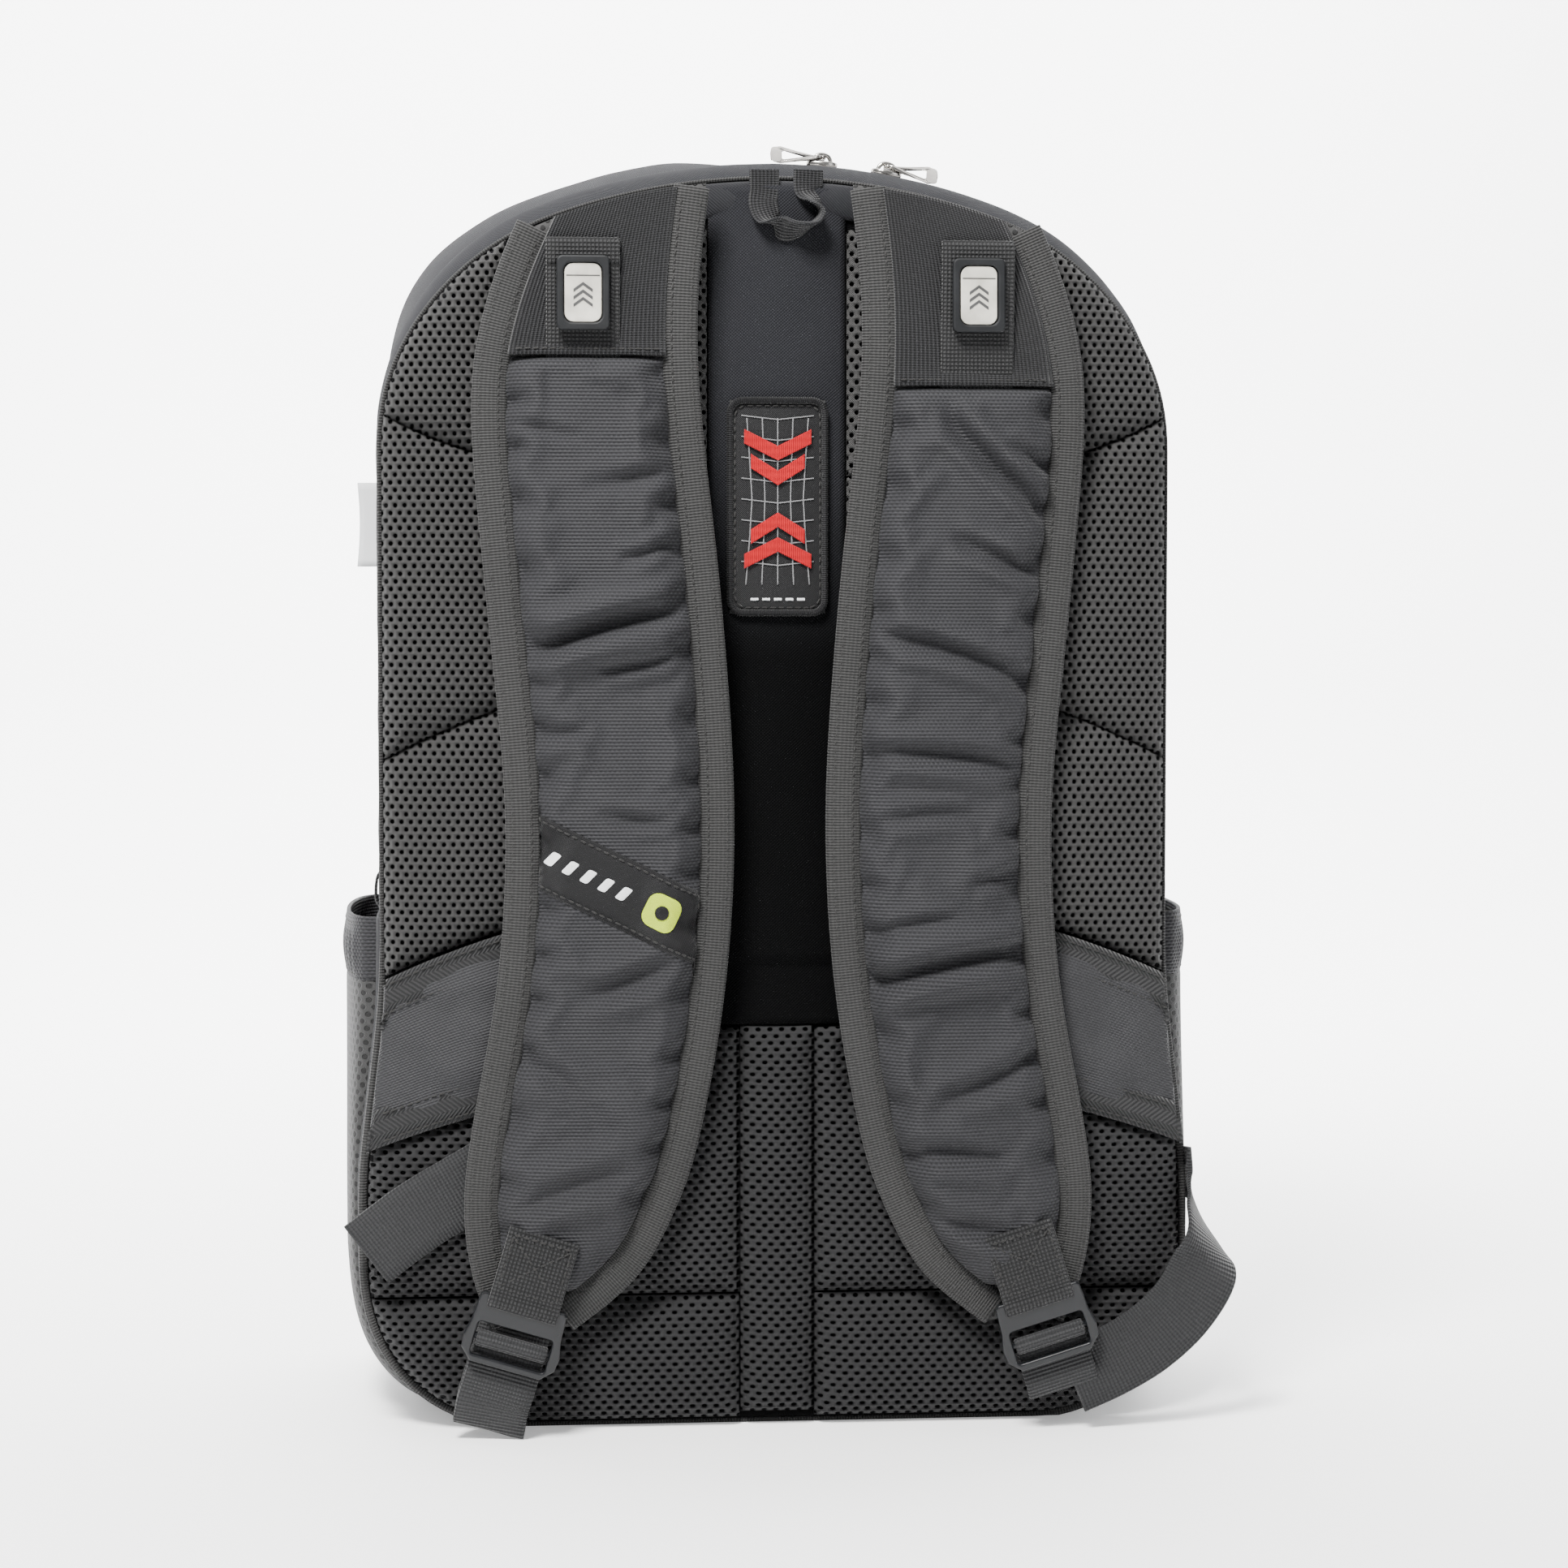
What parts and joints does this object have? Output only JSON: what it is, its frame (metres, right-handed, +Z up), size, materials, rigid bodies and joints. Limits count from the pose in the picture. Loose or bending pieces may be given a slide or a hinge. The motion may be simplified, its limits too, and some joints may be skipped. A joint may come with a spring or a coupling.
{
  "type": "racket backpack",
  "caption": "Backpack with a fold-down zipped front, air-mesh back padding, contoured shoulder straps with adjuster buckles, bottle pockets and a racket pocket.",
  "frame": {"origin": "on the floor under the middle of the body, half way between the back panel and the front panel", "axes": "+Z up, the shoulder straps face -Y, +X is right when looking at the straps"},
  "size_m": [0.3477, 0.2073, 0.4985],
  "materials": {
    "black_nylon": "woven nylon",
    "air_mesh": "spacer mesh",
    "webbing": "ribbed webbing",
    "zip_coil": "coil chain",
    "nickel": "polished nickel",
    "moulded_plastic": "satin",
    "rubber_trim": "matt",
    "badge_metal": "satin",
    "woven_label": "woven",
    "label_white": "satin",
    "frame_sheet": "plain"
  },
  "bodies": {
    "pack_body": {"back_panel": "black_nylon", "back_board": "frame_sheet", "rim_gusset": "black_nylon", "base_panel": "black_nylon", "gusset_lower_left": "black_nylon", "gusset_lower_right": "black_nylon", "front_panel_lower": "black_nylon", "yoke_panel": "black_nylon", "centre_panel": "black_nylon", "channel_patch": "woven_label", "mesh_pads_left": "air_mesh", "mesh_pads_right": "air_mesh", "lumbar_pads": "air_mesh", "wing_panels": "black_nylon", "wing_trims": "webbing", "laptop_sleeve": "black_nylon", "zip_rear": "zip_coil", "side_pocket_left": "air_mesh", "side_pocket_right": "air_mesh", "pocket_hems": "black_nylon", "front_pocket": "black_nylon", "front_pocket_zip": "zip_coil", "zip_tabs": "webbing", "webbing_left": "webbing", "webbing_right": "webbing"},
    "front_flap": {"gusset_upper": "black_nylon", "front_panel_upper": "black_nylon", "zip_front": "zip_coil", "racket_gusset": "black_nylon", "racket_zip": "zip_coil", "care_label": "label_white"},
    "racket_cover": {"racket_lid": "black_nylon"},
    "zip_slider_left": {"slider_left": "nickel"},
    "zip_slider_right": {"slider_right": "nickel"},
    "zip_pull_left": {"pull_left": "nickel"},
    "zip_pull_right": {"pull_right": "nickel"},
    "racket_zip_slider": {"racket_slider": "nickel"},
    "racket_zip_pull": {"racket_pull": "nickel"},
    "pocket_zip_slider": {"front_slider": "nickel"},
    "pocket_zip_pull": {"front_pull": "nickel"},
    "strap_left": {"strap_base_left": "black_nylon", "strap_cushion_left": "black_nylon", "strap_yoke_left": "webbing", "load_tab_left": "webbing", "badge_frame_left": "rubber_trim", "badge_plate_left": "badge_metal", "anchor_tab_left": "webbing", "strap_label": "woven_label"},
    "strap_right": {"strap_base_right": "black_nylon", "strap_cushion_right": "black_nylon", "strap_yoke_right": "webbing", "load_tab_right": "webbing", "badge_frame_right": "rubber_trim", "badge_plate_right": "badge_metal", "anchor_tab_right": "webbing"},
    "buckle_left": {"buckle_left": "moulded_plastic", "webbing_wrap_left": "webbing"},
    "buckle_right": {"buckle_right": "moulded_plastic", "webbing_wrap_right": "webbing"},
    "carry_loop": {"grab_loop": "webbing"}
  },
  "joints": [
    {"name": "front_flap_fold", "type": "hinge", "parent": "pack_body", "child": "front_flap", "pos_m": [0, 0.0745, 0.2], "axis": [-1, 0, 0], "range_deg": [0, 80]},
    {"name": "racket_cover_fold", "type": "hinge", "parent": "front_flap", "child": "racket_cover", "pos_m": [0, 0.0985, 0.235], "axis": [-1, 0, 0], "range_deg": [0, 60]},
    {"name": "zip_travel_left", "type": "hinge", "parent": "pack_body", "child": "zip_slider_left", "pos_m": [0, -0.0455, 0.232], "axis": [0, 1, 0], "range_deg": [-23, 2]},
    {"name": "zip_travel_right", "type": "hinge", "parent": "pack_body", "child": "zip_slider_right", "pos_m": [0, -0.0455, 0.232], "axis": [0, 1, 0], "range_deg": [0, 9]},
    {"name": "zip_pull_left_lift", "type": "hinge", "parent": "zip_slider_left", "child": "zip_pull_left", "pos_m": [0.02031, -0.0455, 0.49602], "axis": [0, 1, 0], "range_deg": [0, 120]},
    {"name": "zip_pull_right_lift", "type": "hinge", "parent": "zip_slider_right", "child": "zip_pull_right", "pos_m": [0.04598, -0.0455, 0.49278], "axis": [0, -1, 0], "range_deg": [0, 120]},
    {"name": "racket_zip_travel", "type": "hinge", "parent": "front_flap", "child": "racket_zip_slider", "pos_m": [0, 0.0887, 0.278], "axis": [0, 1, 0], "range_deg": [-26, 2]},
    {"name": "racket_pull_lift", "type": "hinge", "parent": "racket_zip_slider", "child": "racket_zip_pull", "pos_m": [0.04258, 0.0887, 0.47833], "axis": [0, -1, 0], "range_deg": [0, 120]},
    {"name": "pocket_zip_travel", "type": "slide", "parent": "pack_body", "child": "pocket_zip_slider", "axis": [1, 0, 0], "range_m": [-0.156, 0]},
    {"name": "pocket_pull_lift", "type": "hinge", "parent": "pocket_zip_slider", "child": "pocket_zip_pull", "pos_m": [0.079, 0.0997, 0.156], "axis": [0, 0, 1], "range_deg": [0, 120]},
    {"name": "strap_swing_left", "type": "hinge", "parent": "pack_body", "child": "strap_left", "pos_m": [0, -0.076, 0.482], "axis": [-1, 0, 0], "range_deg": [0, 22], "deforming": ["webbing_left"]},
    {"name": "strap_swing_right", "type": "hinge", "parent": "pack_body", "child": "strap_right", "pos_m": [0, -0.076, 0.482], "axis": [-1, 0, 0], "range_deg": [0, 22], "deforming": ["webbing_right"]},
    {"name": "buckle_tilt_left", "type": "hinge", "parent": "strap_left", "child": "buckle_left", "pos_m": [-0.099, -0.1026, 0.053], "axis": [-0.9563, 0, 0.2924], "range_deg": [0, 45], "deforming": ["webbing_left"]},
    {"name": "buckle_tilt_right", "type": "hinge", "parent": "strap_right", "child": "buckle_right", "pos_m": [0.099, -0.1026, 0.053], "axis": [-0.9563, 0, -0.2924], "range_deg": [0, 45], "deforming": ["webbing_right"]},
    {"name": "carry_loop_lift", "type": "hinge", "parent": "pack_body", "child": "carry_loop", "pos_m": [0.005, -0.076, 0.479], "axis": [-1, 0, 0], "range_deg": [0, 85]}
  ]
}
